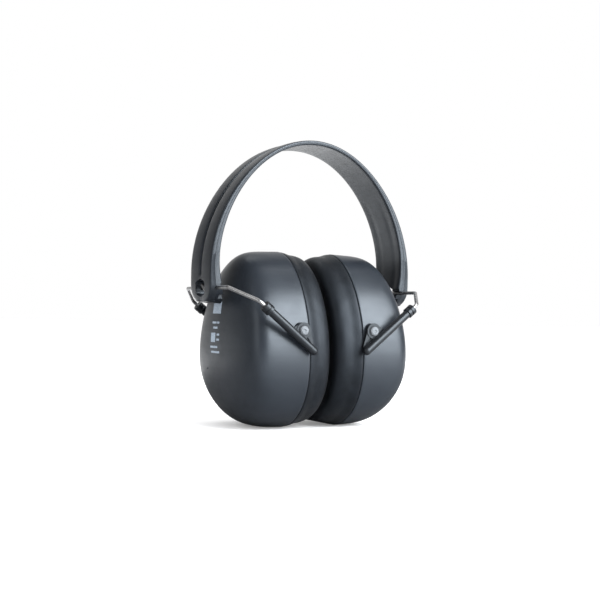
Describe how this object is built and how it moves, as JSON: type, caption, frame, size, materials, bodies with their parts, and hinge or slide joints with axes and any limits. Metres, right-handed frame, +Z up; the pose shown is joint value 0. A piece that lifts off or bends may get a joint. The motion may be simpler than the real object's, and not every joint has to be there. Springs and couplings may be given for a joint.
{
  "type": "hearing protection earmuffs",
  "caption": "Over-head passive hearing protectors: plastic headband, bent steel yoke wires with sliding height adjustment, pivoting hollow cups and soft sealing cushions.",
  "frame": {"origin": "bottom centre: in the middle between the two cups, at the level of the flats they rest on", "axes": "+Z up through the headband, X across the head from the left cup at -X to the right cup at +X, front is -Y"},
  "size_m": [0.1366, 0.1002, 0.1725],
  "materials": {
    "band_plastic": "satin black injection-moulded plastic",
    "spring_steel": "bright drawn spring steel wire",
    "slider_plastic": "satin black plastic",
    "cup_plastic": "satin charcoal plastic",
    "plate_plastic": "matte black plastic",
    "cushion_skin": "matte black grained soft vinyl",
    "cushion_foam": "dark open-cell foam",
    "sound_foam": "dark open-cell foam",
    "rivet_metal": "dull grey metal",
    "washer_plastic": "matte black plastic"
  },
  "bodies": {
    "headband": {"headband": "band_plastic"},
    "left_yoke": {"left_yoke_wire": "spring_steel"},
    "left_sliders": {"left_front_slider": "slider_plastic", "left_rear_slider": "slider_plastic"},
    "left_cup": {"left_cup_shell": "cup_plastic", "left_rim_plate": "plate_plastic", "left_cushion_skin": "cushion_skin", "left_cushion_foam": "cushion_foam", "left_sound_foam": "sound_foam", "left_front_rivet": "rivet_metal", "left_rear_rivet": "rivet_metal", "left_front_washer": "washer_plastic", "left_rear_washer": "washer_plastic"},
    "right_yoke": {"right_yoke_wire": "spring_steel"},
    "right_sliders": {"right_front_slider": "slider_plastic", "right_rear_slider": "slider_plastic"},
    "right_cup": {"right_cup_shell": "cup_plastic", "right_rim_plate": "plate_plastic", "right_cushion_skin": "cushion_skin", "right_cushion_foam": "cushion_foam", "right_sound_foam": "sound_foam", "right_front_rivet": "rivet_metal", "right_rear_rivet": "rivet_metal", "right_front_washer": "washer_plastic", "right_rear_washer": "washer_plastic"}
  },
  "joints": [
    {"name": "left_yoke_swing", "type": "hinge", "parent": "headband", "child": "left_yoke", "pos_m": [-0.0635, 0, 0.0818], "axis": [0, 1, 0], "range_deg": [0, 60]},
    {"name": "left_height_slide", "type": "slide", "parent": "left_yoke", "child": "left_sliders", "axis": [0.7826, 0, -0.6225], "range_m": [0, 0.02]},
    {"name": "left_cup_tilt", "type": "hinge", "parent": "left_sliders", "child": "left_cup", "pos_m": [-0.02345, 0, 0.0583], "axis": [0, -1, 0], "range_deg": [-15, 12], "deforming": ["left_cushion_skin", "left_cushion_foam"]},
    {"name": "right_yoke_swing", "type": "hinge", "parent": "headband", "child": "right_yoke", "pos_m": [0.0635, 0, 0.0818], "axis": [0, -1, 0], "range_deg": [0, 60]},
    {"name": "right_height_slide", "type": "slide", "parent": "right_yoke", "child": "right_sliders", "axis": [-0.7826, 0, -0.6225], "range_m": [0, 0.02]},
    {"name": "right_cup_tilt", "type": "hinge", "parent": "right_sliders", "child": "right_cup", "pos_m": [0.02345, 0, 0.0583], "axis": [0, 1, 0], "range_deg": [-15, 12], "deforming": ["right_cushion_skin", "right_cushion_foam"]}
  ]
}
